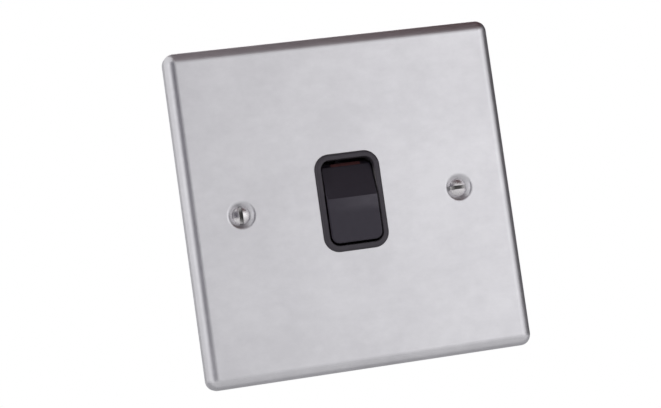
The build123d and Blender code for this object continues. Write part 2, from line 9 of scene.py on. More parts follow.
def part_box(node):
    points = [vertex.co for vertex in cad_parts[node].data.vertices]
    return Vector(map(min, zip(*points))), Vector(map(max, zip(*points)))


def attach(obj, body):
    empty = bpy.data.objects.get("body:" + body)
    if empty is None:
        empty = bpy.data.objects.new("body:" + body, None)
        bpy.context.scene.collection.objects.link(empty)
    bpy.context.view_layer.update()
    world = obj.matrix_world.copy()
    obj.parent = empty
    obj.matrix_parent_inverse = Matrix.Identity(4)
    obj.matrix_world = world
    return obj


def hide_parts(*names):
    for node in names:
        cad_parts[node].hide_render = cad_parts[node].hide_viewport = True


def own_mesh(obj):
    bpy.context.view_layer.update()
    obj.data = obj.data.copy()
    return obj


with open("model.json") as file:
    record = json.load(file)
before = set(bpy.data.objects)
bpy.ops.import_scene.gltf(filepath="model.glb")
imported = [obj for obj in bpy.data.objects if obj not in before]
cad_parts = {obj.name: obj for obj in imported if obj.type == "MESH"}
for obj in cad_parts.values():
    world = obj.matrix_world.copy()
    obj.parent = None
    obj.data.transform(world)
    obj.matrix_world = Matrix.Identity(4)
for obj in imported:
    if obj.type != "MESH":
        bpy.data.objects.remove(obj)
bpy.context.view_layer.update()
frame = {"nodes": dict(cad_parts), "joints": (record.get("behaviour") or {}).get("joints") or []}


# Front plate: stainless sheet pressed into a shallow tray with rounded edges and two dimples
# for the screws. Its face is belt finished to an even satin, and handling leaves faint smudges.
MM = 0.001
MICRON = 0.001 * MM
STEEL_DARK = (0.572, 0.565, 0.593)
STEEL_LIGHT = (0.632, 0.625, 0.653)
STEEL_LEVELS = (0.475, 0.775)
STEEL_ROUGHNESS = (0.36, 0.4)
SMUDGE_SIZE = 17 * MM
SMUDGE_SHARE = 0.7
SPECK_SIZE = 2.4 * MM
SPECK_STRETCH = (1.6, 1, 1)
SPECK_SHARE = 0.55
SHEEN_SIZE = 9 * MM
BELT_LINE_SIZE = 0.22 * MM
BELT_LINE_STRETCH = (60, 1, 1)
BELT_LINE_DEPTH = 0.8 * MICRON


def new_finish(name, **even):
    """A material whose even values are set on the sockets of its own shader."""
    finish = bpy.data.materials.new(name)
    finish.use_nodes = True
    shader = finish.node_tree.nodes["Principled BSDF"]
    for socket, value in even.items():
        shader.inputs[socket.replace("_", " ")].default_value = value
    return finish


def add_node(tree, kind, inputs, **settings):
    """Adds a node, sets its options, and links or fills its inputs."""
    made = tree.nodes.new(kind)
    for option, value in settings.items():
        setattr(made, option, value)
    for socket, value in inputs.items():
        if isinstance(value, bpy.types.NodeSocket):
            tree.links.new(value, made.inputs[socket])
        else:
            made.inputs[socket].default_value = value
    return made


def grain(finish, size, stretch=(1, 1, 1), detail=3.0, rough=0.5):
    """Noise on the object's own coordinates, with features of this size in metres."""
    tree = finish.node_tree
    place = add_node(tree, "ShaderNodeTexCoord", {}).outputs["Object"]
    scale = [1 / (size * share) for share in stretch]
    spread = add_node(tree, "ShaderNodeMapping", {"Vector": place, "Scale": scale})
    noise = {"Vector": spread.outputs["Vector"], "Scale": 1.0, "Detail": detail, "Roughness": rough}
    return add_node(tree, "ShaderNodeTexNoise", noise).outputs["Fac"]


def reckon(tree, operation, *terms):
    """One step of arithmetic in a tree."""
    return add_node(tree, "ShaderNodeMath", dict(enumerate(terms)), operation=operation).outputs[0]


def product(tree, value, *factors):
    """A value multiplied by each factor in turn."""
    for factor in factors:
        value = reckon(tree, "MULTIPLY", value, factor)
    return value


def grade(tree, value, start, end, low=0.0, high=1.0, ease="LINEAR"):
    """Runs from low to high while the value goes from start to end."""
    limits = {"Value": value, "From Min": start, "From Max": end, "To Min": low, "To Max": high}
    return add_node(tree, "ShaderNodeMapRange", limits, interpolation_type=ease).outputs["Result"]


def feed(finish, socket, value):
    """Links a value to a socket of the finish's shader."""
    shader = finish.node_tree.nodes["Principled BSDF"]
    finish.node_tree.links.new(value, shader.inputs[socket])


def colour_by(finish, value, dark, light, start=0.35, end=0.65):
    """Grades the base colour between two colours."""
    ramp = add_node(finish.node_tree, "ShaderNodeValToRGB", {"Fac": value})
    for stop, place, colour in zip(ramp.color_ramp.elements, (start, end), (dark, light)):
        stop.position = place
        stop.color = (*colour, 1)
    feed(finish, "Base Color", ramp.outputs["Color"])


def roughness_by(finish, value, low, high, start=0.3, end=0.7):
    """Grades the roughness between two limits."""
    feed(finish, "Roughness", grade(finish.node_tree, value, start, end, low, high))


def relief_by(finish, value, depth):
    """Raises the surface by this depth in metres where the value is high."""
    bump = add_node(finish.node_tree, "ShaderNodeBump", {"Height": value, "Distance": depth})
    feed(finish, "Normal", bump.outputs["Normal"])


def dress(finish, *names):
    """Gives a finish to pieces of the frame."""
    for name in names:
        skins = frame["nodes"][name].data.materials
        skins.clear()
        skins.append(finish)


satin_steel = new_finish("satin_steel", Metallic=1.0)
steel_tree = satin_steel.node_tree
smudges = grain(satin_steel, SMUDGE_SIZE, detail=4)
specks = grain(satin_steel, SPECK_SIZE, SPECK_STRETCH, detail=5, rough=0.65)
handling = reckon(
    steel_tree,
    "ADD",
    product(steel_tree, smudges, SMUDGE_SHARE),
    product(steel_tree, specks, SPECK_SHARE),
)
colour_by(satin_steel, handling, STEEL_DARK, STEEL_LIGHT, *STEEL_LEVELS)
roughness_by(satin_steel, grain(satin_steel, SHEEN_SIZE, detail=6, rough=0.6), *STEEL_ROUGHNESS)
relief_by(satin_steel, grain(satin_steel, BELT_LINE_SIZE, BELT_LINE_STRETCH), BELT_LINE_DEPTH)
dress(satin_steel, "front_plate")


# Housing: one black moulding that carries the collar round the rocker, the panel that fills the
# plate and the case wall behind it. Its mould is spark eroded, which leaves a fine matt grain.
# The collar's inner walls beside the rocker are painted a patchy lighter grey, as painted light on
# them, and ejector pins leave round marks on the back.
MOULDING_BLACK = (0.0165, 0.0142, 0.0182)
MOULDING_GLOSS = 0.535
MOULDING_TINT = (0.935, 0.87, 1, 1)
MOULDING_ROUGHNESS = (0.46, 0.56)
MATT_SIZE = 2 * MM
ERODED_SIZE = 0.16 * MM
ERODED_DEPTH = 8 * MICRON
BLOOM_SIZE = 6 * MM
BLOOM_SHARE = 0.12
WALL_LIGHT_GREY = (0.15, 0.145, 0.15)
WALL_LIGHT_PATCH_SIZE = 1.2 * MM
WALL_LIGHT_SIDE = 7.35 * MM
WALL_LIGHT_ENDS = (9.2 * MM, 6.5 * MM)
WALL_LIGHT_FRONT = -3.5 * MM
EJECTOR_RADIUS = 2.2 * MM
EJECTOR_RISE = 0.12 * MM
EJECTOR_REACH = 33 * MM
EJECTOR_SEAT = -3.0 * MM
MARK_SIDES = 40
FACING_BACK = (-pi / 2, 0, 0)


def own_place(tree):
    """The three coordinates of a spot on the piece that wears the finish."""
    place = add_node(tree, "ShaderNodeTexCoord", {}).outputs["Object"]
    return add_node(tree, "ShaderNodeSeparateXYZ", {"Vector": place}).outputs


black_moulding = new_finish(
    "black_moulding", Specular_IOR_Level=MOULDING_GLOSS, Specular_Tint=MOULDING_TINT
)
moulding_tree = black_moulding.node_tree
moulding_spot = own_place(moulding_tree)
# Painted light: the collar's inner walls beside the rocker are greyed in patches, as if lit.
side_reach = reckon(moulding_tree, "ABSOLUTE", moulding_spot["X"])
in_window = reckon(moulding_tree, "LESS_THAN", side_reach, WALL_LIGHT_SIDE)
end_reach = reckon(moulding_tree, "ABSOLUTE", moulding_spot["Z"])
beside_rocker = grade(moulding_tree, end_reach, *WALL_LIGHT_ENDS, ease="SMOOTHSTEP")
at_front = reckon(moulding_tree, "LESS_THAN", moulding_spot["Y"], WALL_LIGHT_FRONT)
wall_light_patches = grain(black_moulding, WALL_LIGHT_PATCH_SIZE, detail=4)
painted_wall_light = product(moulding_tree, in_window, beside_rocker, at_front, wall_light_patches)
bloom = product(moulding_tree, grain(black_moulding, BLOOM_SIZE), BLOOM_SHARE)
wall_light_and_bloom = reckon(moulding_tree, "ADD", painted_wall_light, bloom)
colour_by(black_moulding, wall_light_and_bloom, MOULDING_BLACK, WALL_LIGHT_GREY, start=0.0, end=1.0)
roughness_by(black_moulding, grain(black_moulding, MATT_SIZE), *MOULDING_ROUGHNESS)
relief_by(black_moulding, grain(black_moulding, ERODED_SIZE), ERODED_DEPTH)
dress(black_moulding, "switch_housing")


def new_form(name, floats):
    """An empty tree of geometry nodes with these named sizes, and its two end nodes."""
    tree = bpy.data.node_groups.new(name, "GeometryNodeTree")
    tree.interface.new_socket("Geometry", in_out="INPUT", socket_type="NodeSocketGeometry")
    for size in floats:
        tree.interface.new_socket(size, in_out="INPUT", socket_type="NodeSocketFloat")
    tree.interface.new_socket("Geometry", in_out="OUTPUT", socket_type="NodeSocketGeometry")
    return tree, tree.nodes.new("NodeGroupInput"), tree.nodes.new("NodeGroupOutput")


def real_and_dressed(tree, shape, finish):
    """A shape with its instances made real, in a finish."""
    real = add_node(tree, "GeometryNodeRealizeInstances", {"Geometry": shape}).outputs["Geometry"]
    skin = add_node(tree, "GeometryNodeSetMaterial", {"Geometry": real, "Material": finish})
    return skin.outputs["Geometry"]


def make_piece(name, seed, tree, sizes):
    """Runs a tree on a seed mesh and returns the result as a plain piece."""
    draft = bpy.data.objects.new(name, seed)
    bpy.context.scene.collection.objects.link(draft)
    nodes = draft.modifiers.new("form", "NODES")
    nodes.node_group = tree
    for item in tree.interface.items_tree:
        if item.in_out == "INPUT" and item.name in sizes:
            nodes[item.identifier] = sizes[item.name]
    ready = draft.evaluated_get(bpy.context.evaluated_depsgraph_get())
    mesh = bpy.data.meshes.new_from_object(ready)
    for index in reversed(range(len(mesh.materials))):
        if mesh.materials[index] is None:
            mesh.materials.pop(index=index)
    draft.modifiers.clear()
    draft.data = mesh
    mesh.name = name
    return draft


def points_mesh(name, places):
    """A mesh of loose points for a tree to set things on."""
    mesh = bpy.data.meshes.new(name)
    mesh.from_pydata(places, [], [])
    return mesh


def round_marks(name, finish):
    """A tree that sets a low round pad, facing along Y, on every point."""
    tree, start, end = new_form(name, ("Radius", "Rise"))
    size = start.outputs
    pad = add_node(
        tree,
        "GeometryNodeMeshCylinder",
        {"Vertices": MARK_SIDES, "Radius": size["Radius"], "Depth": size["Rise"]},
    )
    marks = add_node(
        tree,
        "GeometryNodeInstanceOnPoints",
        {"Points": size["Geometry"], "Instance": pad.outputs["Mesh"], "Rotation": FACING_BACK},
    )
    dressed = real_and_dressed(tree, marks.outputs["Instances"], finish)
    tree.links.new(dressed, end.inputs["Geometry"])
    return tree


ejector_places = [
    (x * EJECTOR_REACH, EJECTOR_SEAT, z * EJECTOR_REACH) for x in (-1, 1) for z in (-1, 1)
]
ejector_marks = make_piece(
    "ejector_marks",
    points_mesh("ejector_points", ejector_places),
    round_marks("ejector_marks", black_moulding),
    {"Radius": EJECTOR_RADIUS, "Rise": EJECTOR_RISE},
)
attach(ejector_marks, "case")


# Rocker: black moulding with a smoother mould finish than the collar, so its two facets take
# the light differently. It turns on two trunnions in the housing. The top of its lower facet,
# below the ridge, is painted greyer in patches and more so to the right, a painted highlight.
ROCKER_BLACK = (0.0068, 0.0052, 0.0085)
ROCKER_GLOSS = 0.47
ROCKER_TINT = (0.884, 0.83, 1, 1)
ROCKER_ROUGHNESS = (0.32, 0.4)
SATIN_SIZE = 1.5 * MM
SMOOTHED_SIZE = 0.2 * MM
SMOOTHED_DEPTH = 4 * MICRON
MOTTLE_SIZE = 5 * MM
MOTTLE_SHARE = 0.08
HIGHLIGHT_GREY = (0.055, 0.051, 0.059)
HIGHLIGHT_FRONT = -7.3 * MM
HIGHLIGHT_TOP = 1.05 * MM
HIGHLIGHT_FOOT = (-3.6 * MM, -0.9 * MM)
HIGHLIGHT_SIDES = (-6.5 * MM, 6.5 * MM)
HIGHLIGHT_LEVELS = (0.05, 0.7)
HIGHLIGHT_EVEN_SHARE = 0.3
HIGHLIGHT_PATCH_SIZE = 1.6 * MM
HIGHLIGHT_PATCH_STRETCH = (2, 1, 1)

rocker_black = new_finish(
    "rocker_black", Specular_IOR_Level=ROCKER_GLOSS, Specular_Tint=ROCKER_TINT
)
rocker_tree = rocker_black.node_tree
rocker_spot = own_place(rocker_tree)
# Painted highlight: the top of the lower facet, below the ridge, is greyed, more to the right.
above_foot = grade(rocker_tree, rocker_spot["Z"], *HIGHLIGHT_FOOT, ease="SMOOTHSTEP")
on_front = reckon(rocker_tree, "LESS_THAN", rocker_spot["Y"], HIGHLIGHT_FRONT)
below_ridge = reckon(rocker_tree, "LESS_THAN", rocker_spot["Z"], HIGHLIGHT_TOP)
to_right = grade(rocker_tree, rocker_spot["X"], *HIGHLIGHT_SIDES, *HIGHLIGHT_LEVELS)
highlight_patches = grain(rocker_black, HIGHLIGHT_PATCH_SIZE, HIGHLIGHT_PATCH_STRETCH, detail=4)
highlight_amount = reckon(rocker_tree, "ADD", highlight_patches, HIGHLIGHT_EVEN_SHARE)
painted_highlight = product(rocker_tree, above_foot, on_front, below_ridge, to_right, highlight_amount)
mottle = product(rocker_tree, grain(rocker_black, MOTTLE_SIZE), MOTTLE_SHARE)
highlight_or_mottled = reckon(rocker_tree, "ADD", painted_highlight, mottle)
colour_by(rocker_black, highlight_or_mottled, ROCKER_BLACK, HIGHLIGHT_GREY, start=0.0, end=1.0)
roughness_by(rocker_black, grain(rocker_black, SATIN_SIZE), *ROCKER_ROUGHNESS)
relief_by(rocker_black, grain(rocker_black, SMOOTHED_SIZE), SMOOTHED_DEPTH)
dress(rocker_black, "rocker")


# On flag: a red moulding pressed into the upper end of the rocker. It shows when the switch is
# on, and lies in the shadow of the collar when it is off. Its red is painted a dark maroon, as
# painted shade for that shadow.
def patchy_finish(name, dark, light, patch, rough, fine, detail=3.0, **even):
    """A finish with patches between two colours, and smaller ones between two roughnesses."""
    finish = new_finish(name, **even)
    colour_by(finish, grain(finish, patch, detail=detail), dark, light)
    roughness_by(finish, grain(finish, fine), *rough)
    return finish


# Painted shade: the flag's red is painted dark, as if in the collar's shadow.
flag_red = patchy_finish(
    "flag_red",
    dark=(0.07, 0.026, 0.027),
    light=(0.09, 0.033, 0.034),
    patch=2 * MM,
    rough=(0.35, 0.45),
    fine=1 * MM,
)
dress(flag_red, "on_flag")


# Plungers and springs: white nylon pins in the rocker's two barrels, each pushed out by a spring
# wound from steel wire, closed at its ends.
POLES = ("live", "neutral")
SPRING_TURNS = 5
SPRING_WIRE = 0.4 * MM
SPRING_AROUND = 32
WIRE_AROUND = 12
END_PITCH = 0.15

white_nylon = patchy_finish(
    "white_nylon",
    dark=(0.76, 0.75, 0.7),
    light=(0.82, 0.81, 0.77),
    patch=2 * MM,
    rough=(0.4, 0.5),
    fine=1 * MM,
)
spring_steel = patchy_finish(
    "spring_steel",
    dark=(0.5, 0.5, 0.51),
    light=(0.6, 0.6, 0.61),
    patch=0.6 * MM,
    rough=(0.2, 0.35),
    fine=0.3 * MM,
    Metallic=1.0,
)


def wound_spring():
    """A tree that winds wire along a leaning axis, with closer turns at both ends."""
    sizes = ("Side", "Depth", "Height", "Lean", "Length", "Radius", "Wire", "Turns")
    tree, start, end = new_form("wound_spring", sizes)
    size = start.outputs
    half_wire = product(tree, size["Wire"], 0.5)
    ring = add_node(
        tree,
        "GeometryNodeCurveSpiral",
        {
            "Resolution": SPRING_AROUND,
            "Rotations": size["Turns"],
            "Start Radius": size["Radius"],
            "End Radius": size["Radius"],
            "Height": 0.0,
        },
    )
    share = add_node(tree, "GeometryNodeSplineParameter", {}).outputs["Factor"]
    eased = grade(tree, share, 0.0, 1.0, ease="SMOOTHSTEP")
    even_rise = product(tree, share, END_PITCH)
    rise = reckon(tree, "ADD", even_rise, product(tree, eased, 1 - END_PITCH))
    travel = reckon(tree, "SUBTRACT", size["Length"], size["Wire"])
    lift = reckon(tree, "ADD", half_wire, product(tree, rise, travel))
    raised = add_node(tree, "ShaderNodeCombineXYZ", {"Z": lift})
    coil = add_node(
        tree,
        "GeometryNodeSetPosition",
        {"Geometry": ring.outputs["Curve"], "Offset": raised.outputs["Vector"]},
    )
    section = add_node(
        tree, "GeometryNodeCurvePrimitiveCircle", {"Resolution": WIRE_AROUND, "Radius": half_wire}
    )
    wire = add_node(
        tree,
        "GeometryNodeCurveToMesh",
        {
            "Curve": coil.outputs["Geometry"],
            "Profile Curve": section.outputs["Curve"],
            "Fill Caps": True,
        },
    )
    lean = add_node(tree, "ShaderNodeCombineXYZ", {"X": size["Lean"]})
    turn = add_node(tree, "FunctionNodeEulerToRotation", {"Euler": lean.outputs["Vector"]})
    place = add_node(
        tree, "ShaderNodeCombineXYZ", {"X": size["Side"], "Y": size["Depth"], "Z": size["Height"]}
    )
    seated = add_node(
        tree,
        "GeometryNodeTransform",
        {
            "Geometry": wire.outputs["Mesh"],
            "Translation": place.outputs["Vector"],
            "Rotation": turn.outputs["Rotation"],
        },
    )
    dressed = real_and_dressed(tree, seated.outputs["Geometry"], spring_steel)
    tree.links.new(dressed, end.inputs["Geometry"])
    return tree


spring_tree = wound_spring()
for pole in POLES:
    dress(white_nylon, f"plunger_{pole}")
    node = f"plunger_spring_{pole}"
    dress(spring_steel, node)
    slide = next(joint for joint in frame["joints"] if joint["name"] == f"plunger_{pole}_slide")
    axis = Vector(slide["axis"])
    reach = [point.co.dot(axis) for point in frame["nodes"][node].data.vertices]
    length = max(reach) - min(reach)
    low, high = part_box(node)
    foot = (low + high) / 2 - axis * length / 2
    spring = make_piece(
        f"{node}_wound",
        points_mesh(f"{node}_seed", []),
        spring_tree,
        {
            "Side": foot.x,
            "Depth": foot.y,
            "Height": foot.z,
            "Lean": -axis.angle((0, 0, 1)),
            "Length": length,
            "Radius": (high.x - low.x - SPRING_WIRE) / 2,
            "Wire": SPRING_WIRE,
            "Turns": SPRING_TURNS,
        },
    )
    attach(spring, "rocker")
    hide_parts(node)
    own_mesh(spring)


# Contacts: see-saw strips stamped from copper, which rock on the supply straps. Each carries
# a silver tip, which closes on another silver tip on the load strap.
copper = patchy_finish(
    "copper",
    dark=(0.62, 0.28, 0.17),
    light=(0.76, 0.38, 0.24),
    patch=3 * MM,
    detail=5,
    rough=(0.28, 0.42),
    fine=1 * MM,
    Metallic=1.0,
)
contact_silver = patchy_finish(
    "contact_silver",
    dark=(0.76, 0.75, 0.73),
    light=(0.84, 0.84, 0.83),
    patch=1 * MM,
    rough=(0.25, 0.35),
    fine=0.5 * MM,
    Metallic=1.0,
)
for pole in POLES:
    dress(copper, f"moving_contact_{pole}")
    dress(contact_silver, f"moving_tip_{pole}", f"fixed_tip_{pole}")


# Straps and terminals: stamped brass strips under sawn brass blocks, each with a wire bore
# and a turned brass screw. The earth strap's foot is spot welded to the back of the plate.
POLE_ENDS = ("supply", "load")
SAW_LINE_SIZE = 0.25 * MM
SAW_LINE_STRETCH = (1, 1, 25)
SAW_LINE_DEPTH = 2 * MICRON
TERMINAL_SLOT_DEPTH = 1.0 * MM
# Painted shade: the terminal screws are painted dark low in their slots and down their sides.
SHADED_BRASS = (0.16, 0.11, 0.05)
BRIGHT_BRASS = (0.8, 0.63, 0.32)
SLOT_BRIGHT_TO = 0.7
SLOT_SHADE_FROM = 0.95
SCREW_PATCH_SIZE = 2 * MM
SCREW_PATCH_SHARE = 0.3
SCREW_LEVELS = (0.1, 0.9)
SCREW_FINE_SIZE = 0.8 * MM
SCREW_ROUGHNESS = (0.2, 0.32)
WELD_RADIUS = 1.1 * MM
WELD_RISE = 0.1 * MM
WELD_SIDE = 2.1 * MM
WELD_SEAT = -4.2 * MM
WELD_HEIGHT = -31.0 * MM

brass = patchy_finish(
    "brass",
    dark=(0.66, 0.47, 0.19),
    light=(0.76, 0.57, 0.26),
    patch=4 * MM,
    detail=5,
    rough=(0.26, 0.4),
    fine=1.2 * MM,
    Metallic=1.0,
)
relief_by(brass, grain(brass, SAW_LINE_SIZE, SAW_LINE_STRETCH), SAW_LINE_DEPTH)


def slotted_metal(name, node, slot_depth, shaded, bright):
    """Metal bright on a screw's rear face, with painted shade low in its slot and down its side."""
    finish = new_finish(name, Metallic=1.0)
    tree = finish.node_tree
    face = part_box(node)[1].y
    shaded_place = face - slot_depth * SLOT_SHADE_FROM
    bright_place = face - slot_depth * SLOT_BRIGHT_TO
    near_face = grade(tree, own_place(tree)["Y"], shaded_place, bright_place)
    patches = product(tree, grain(finish, SCREW_PATCH_SIZE), SCREW_PATCH_SHARE)
    tone = reckon(tree, "ADD", product(tree, near_face, 1 - SCREW_PATCH_SHARE), patches)
    colour_by(finish, tone, shaded, bright, *SCREW_LEVELS)
    roughness_by(finish, grain(finish, SCREW_FINE_SIZE), *SCREW_ROUGHNESS)
    return finish


screw_brass = slotted_metal(
    "screw_brass", "supply_screw_live", TERMINAL_SLOT_DEPTH, SHADED_BRASS, BRIGHT_BRASS
)
earth_brass = slotted_metal(
    "earth_brass", "earth_screw", TERMINAL_SLOT_DEPTH, SHADED_BRASS, BRIGHT_BRASS
)
for pole in POLES:
    for end in POLE_ENDS:
        dress(brass, f"{end}_strap_{pole}", f"{end}_terminal_{pole}")
        dress(screw_brass, f"{end}_screw_{pole}")
dress(brass, "earth_strap", "earth_terminal")
dress(earth_brass, "earth_screw")
weld_places = [(x * WELD_SIDE, WELD_SEAT, WELD_HEIGHT) for x in (-1, 1)]
earth_welds = make_piece(
    "earth_welds",
    points_mesh("weld_points", weld_places),
    round_marks("earth_welds", brass),
    {"Radius": WELD_RADIUS, "Rise": WELD_RISE},
)
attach(earth_welds, "case")


# Base: the rear moulding that closes the case and carries the terminals, held to the housing
# by four plated self-tapping screws driven from behind.
RECESS_DEPTH = 1.2 * MM
# Painted shade: the base screws are painted dark low in their recesses and down their sides.
SHADED_PLATING = (0.13, 0.125, 0.125)
BRIGHT_PLATING = (0.66, 0.64, 0.655)

dress(black_moulding, "base")
base_screw_steel = slotted_metal(
    "base_screw_steel", "base_screw_load_live", RECESS_DEPTH, SHADED_PLATING, BRIGHT_PLATING
)
for pole in POLES:
    for end in POLE_ENDS:
        dress(base_screw_steel, f"base_screw_{end}_{pole}")


# Fixing screws: raised countersunk steel screws, plated, that hold the plate to its wall box.
# Their heads are cold formed, the driving slots sawn, and the threads rolled onto the shanks.
FIXING_SIDE = 30.15 * MM
FIXING_RIM = 2.35 * MM
HEAD_DEPTH = 1.8 * MM
SLOT_HALF_WIDTH = 0.5 * MM
SLOT_FLOOR = 0.9 * MM
SLOT_SHADE_DARK = (0.1, 0.095, 0.095)
SLOT_SHADE_LIGHT = (0.5, 0.49, 0.495)
SLOT_SHADE_LEVELS = (0.45, 1.0)
SLOT_ROUGHNESS = (0.5, 0.65)
SLOT_FINE_SIZE = 0.3 * MM
SLOT_PATCH_SIZE = 0.5 * MM
SLOT_PATCH_SHARE = 0.3
SHANK_LAP = 0.02 * MM
SHANK_CREST = 1.75 * MM
SHANK_ROOT = 1.4 * MM
SHANK_NECK = 1.5 * MM
SHANK_PITCH = 0.6 * MM
SHANK_AROUND = 32
STEPS_PER_PITCH = 10
BLUNT_SHARE = 0.5
SMOOTH_ANGLE = radians(35)
TOUCH = 0.001 * MM
X_AXIS, Z_AXIS = 0, 2

plated_steel = patchy_finish(
    "plated_steel",
    dark=(0.58, 0.56, 0.575),
    light=(0.67, 0.65, 0.665),
    patch=2 * MM,
    rough=(0.24, 0.34),
    fine=0.7 * MM,
    Metallic=1.0,
)


def length_of(tree, vector):
    """How long a vector is."""
    return add_node(tree, "ShaderNodeVectorMath", {0: vector}, operation="LENGTH").outputs["Value"]


# Painted shade: the fixing screws' slots are painted dark, darkest at the middle and lighter
# towards the rim.
painted_slot_shade = new_finish("painted_slot_shade", Metallic=1.0)
slot_shade_tree = painted_slot_shade.node_tree
slot_shade_spot = own_place(slot_shade_tree)
to_side = reckon(slot_shade_tree, "ABSOLUTE", slot_shade_spot["X"])
from_axis = reckon(slot_shade_tree, "SUBTRACT", to_side, FIXING_SIDE)
arm = add_node(slot_shade_tree, "ShaderNodeCombineXYZ", {"X": from_axis, "Y": slot_shade_spot["Z"]})
to_rim = reckon(slot_shade_tree, "DIVIDE", length_of(slot_shade_tree, arm.outputs["Vector"]), FIXING_RIM)
slot_shade_patches = product(slot_shade_tree, grain(painted_slot_shade, SLOT_PATCH_SIZE), SLOT_PATCH_SHARE)
slot_lightness = reckon(slot_shade_tree, "ADD", to_rim, slot_shade_patches)
colour_by(painted_slot_shade, slot_lightness, SLOT_SHADE_DARK, SLOT_SHADE_LIGHT, *SLOT_SHADE_LEVELS)
roughness_by(painted_slot_shade, grain(painted_slot_shade, SLOT_FINE_SIZE), *SLOT_ROUGHNESS)


def threaded_screw():
    """A tree that adds a rolled thread, along Y, behind a screw head."""
    sizes = ("Side", "Start", "Length", "Crest", "Root", "Neck", "Pitch")
    tree, start, end = new_form("threaded_screw", sizes)
    size = start.outputs
    pitches = reckon(tree, "DIVIDE", size["Length"], size["Pitch"])
    blank = add_node(
        tree,
        "GeometryNodeMeshCylinder",
        {
            "Vertices": SHANK_AROUND,
            "Side Segments": product(tree, pitches, STEPS_PER_PITCH),
            "Radius": 1.0,
            "Depth": size["Length"],
        },
    )
    position = add_node(tree, "GeometryNodeInputPosition", {}).outputs["Position"]
    spot = add_node(tree, "ShaderNodeSeparateXYZ", {"Vector": position}).outputs
    along = reckon(tree, "ADD", spot["Z"], product(tree, size["Length"], 0.5))
    turn = reckon(tree, "DIVIDE", reckon(tree, "ARCTAN2", spot["Y"], spot["X"]), 2 * pi)
    lead = reckon(tree, "SUBTRACT", reckon(tree, "DIVIDE", along, size["Pitch"]), turn)
    # A triangular wave over each turn: 0 at the root of the thread and 1 at its crest.
    flank = product(tree, reckon(tree, "PINGPONG", lead, 0.5), 2.0)
    depth = reckon(tree, "SUBTRACT", size["Crest"], size["Root"])
    radius = reckon(tree, "ADD", size["Root"], product(tree, depth, flank))
    lead_in = reckon(tree, "ADD", size["Neck"], along)
    to_end = reckon(tree, "SUBTRACT", size["Length"], along)
    point = reckon(tree, "ADD", to_end, product(tree, size["Crest"], BLUNT_SHARE))
    radius = reckon(tree, "MINIMUM", reckon(tree, "MINIMUM", radius, lead_in), point)
    rolled = add_node(
        tree,
        "ShaderNodeCombineXYZ",
        {"X": product(tree, spot["X"], radius), "Y": product(tree, spot["Y"], radius), "Z": along},
    )
    thread = add_node(
        tree,
        "GeometryNodeSetPosition",
        {"Geometry": blank.outputs["Mesh"], "Position": rolled.outputs["Vector"]},
    )
    smooth = add_node(tree, "GeometryNodeSetShadeSmooth", {"Geometry": thread.outputs["Geometry"]})
    end_rim = reckon(tree, "SUBTRACT", size["Length"], TOUCH)
    at_end = reckon(tree, "GREATER_THAN", spot["Z"], end_rim)
    crisp_end = add_node(
        tree,
        "GeometryNodeSetShadeSmooth",
        {"Geometry": smooth.outputs["Geometry"], "Selection": at_end, "Shade Smooth": False},
        domain="EDGE",
    )
    place = add_node(tree, "ShaderNodeCombineXYZ", {"X": size["Side"], "Y": size["Start"]})
    set_back = add_node(
        tree,
        "GeometryNodeTransform",
        {
            "Geometry": crisp_end.outputs["Geometry"],
            "Translation": place.outputs["Vector"],
            "Rotation": FACING_BACK,
        },
    )
    whole = add_node(tree, "GeometryNodeJoinGeometry", {"Geometry": size["Geometry"]})
    tree.links.new(set_back.outputs["Geometry"], whole.inputs["Geometry"])
    dressed = real_and_dressed(tree, whole.outputs["Geometry"], plated_steel)
    # The slot's faces take the painted slot shade.
    slot_faces = add_node(
        tree, "GeometryNodeInputNamedAttribute", {"Name": "in_slot"}, data_type="BOOLEAN"
    )
    slot_skin = add_node(
        tree,
        "GeometryNodeSetMaterial",
        {"Geometry": dressed, "Selection": slot_faces.outputs["Attribute"], "Material": painted_slot_shade},
    )
    tree.links.new(slot_skin.outputs["Geometry"], end.inputs["Geometry"])
    return tree


def screw_head(node, across_slot):
    """The head and neck of a screw, its slot's faces marked. The axis goes across the slot."""
    low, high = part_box(node)
    middle = (low + high) / 2
    form = bmesh.new()
    form.from_mesh(frame["nodes"][node].data)
    bmesh.ops.remove_doubles(form, verts=form.verts, dist=TOUCH)
    everything = form.verts[:] + form.edges[:] + form.faces[:]
    cut = (0, low.y + HEAD_DEPTH, 0)
    back = (0, 1, 0)
    bmesh.ops.bisect_plane(form, geom=everything, plane_co=cut, plane_no=back, clear_outer=True)
    bmesh.ops.holes_fill(form, edges=[e for e in form.edges if e.is_boundary])
    in_slot = form.faces.layers.bool.new("in_slot")
    for face in form.faces:
        spot = face.calc_center_median()
        across = abs((spot - middle)[across_slot])
        sunk = spot.y < low.y + SLOT_FLOOR + TOUCH
        face[in_slot] = sunk and across < SLOT_HALF_WIDTH + TOUCH
        face.smooth = True
    for edge in form.edges:
        edge.smooth = edge.calc_face_angle(pi) < SMOOTH_ANGLE
    mesh = bpy.data.meshes.new(node)
    form.to_mesh(mesh)
    form.free()
    return mesh


screw_tree = threaded_screw()
for side, across_slot in (("left", X_AXIS), ("right", Z_AXIS)):
    node = f"fixing_screw_{side}"
    low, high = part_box(node)
    shank_start = low.y + HEAD_DEPTH - SHANK_LAP
    fixing_screw = make_piece(
        f"{node}_threaded",
        screw_head(node, across_slot),
        screw_tree,
        {
            "Side": (low.x + high.x) / 2,
            "Start": shank_start,
            "Length": high.y - shank_start,
            "Crest": SHANK_CREST,
            "Root": SHANK_ROOT,
            "Neck": SHANK_NECK,
            "Pitch": SHANK_PITCH,
        },
    )
    dress(plated_steel, node)
    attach(fixing_screw, "case")
    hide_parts(node)


